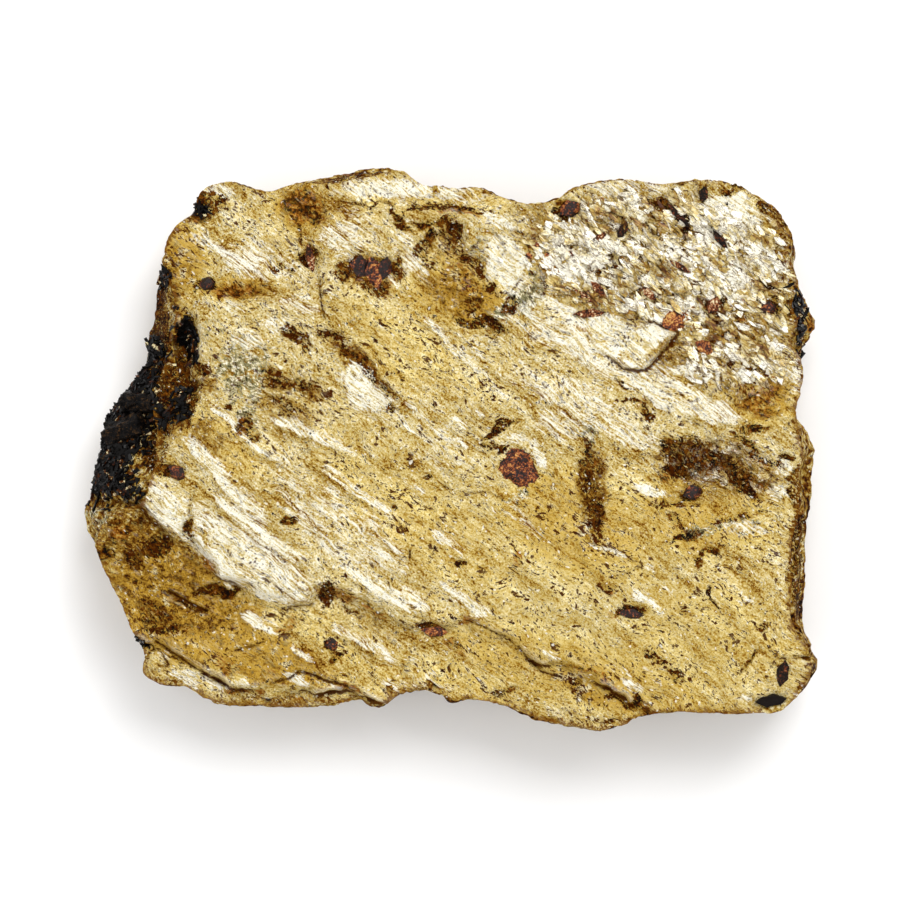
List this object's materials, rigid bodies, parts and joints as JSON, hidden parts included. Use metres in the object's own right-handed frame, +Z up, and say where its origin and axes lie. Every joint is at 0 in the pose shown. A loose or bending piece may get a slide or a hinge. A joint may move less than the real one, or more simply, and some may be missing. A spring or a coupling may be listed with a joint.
{
  "type": "mica crystal slab",
  "caption": "Flat natural slab of golden mica that splits into sheets, with slanting folds, ragged sheet ends and garnets grown into its face; a hand specimen to hold, study or show lying down.",
  "frame": {"origin": "middle of the slab's box, on the surface that its flat underside rests on", "axes": "+X along the slab's long side, +Y along its short side, +Z up out of its best face"},
  "size_m": [0.1197, 0.0922, 0.0264],
  "materials": {
    "mica": "golden tan foliated mica with a silvery sheen on the folds, brown and black along the broken edges"
  },
  "bodies": {
    "root": {"mica_slab": "mica"}
  },
  "joints": []
}
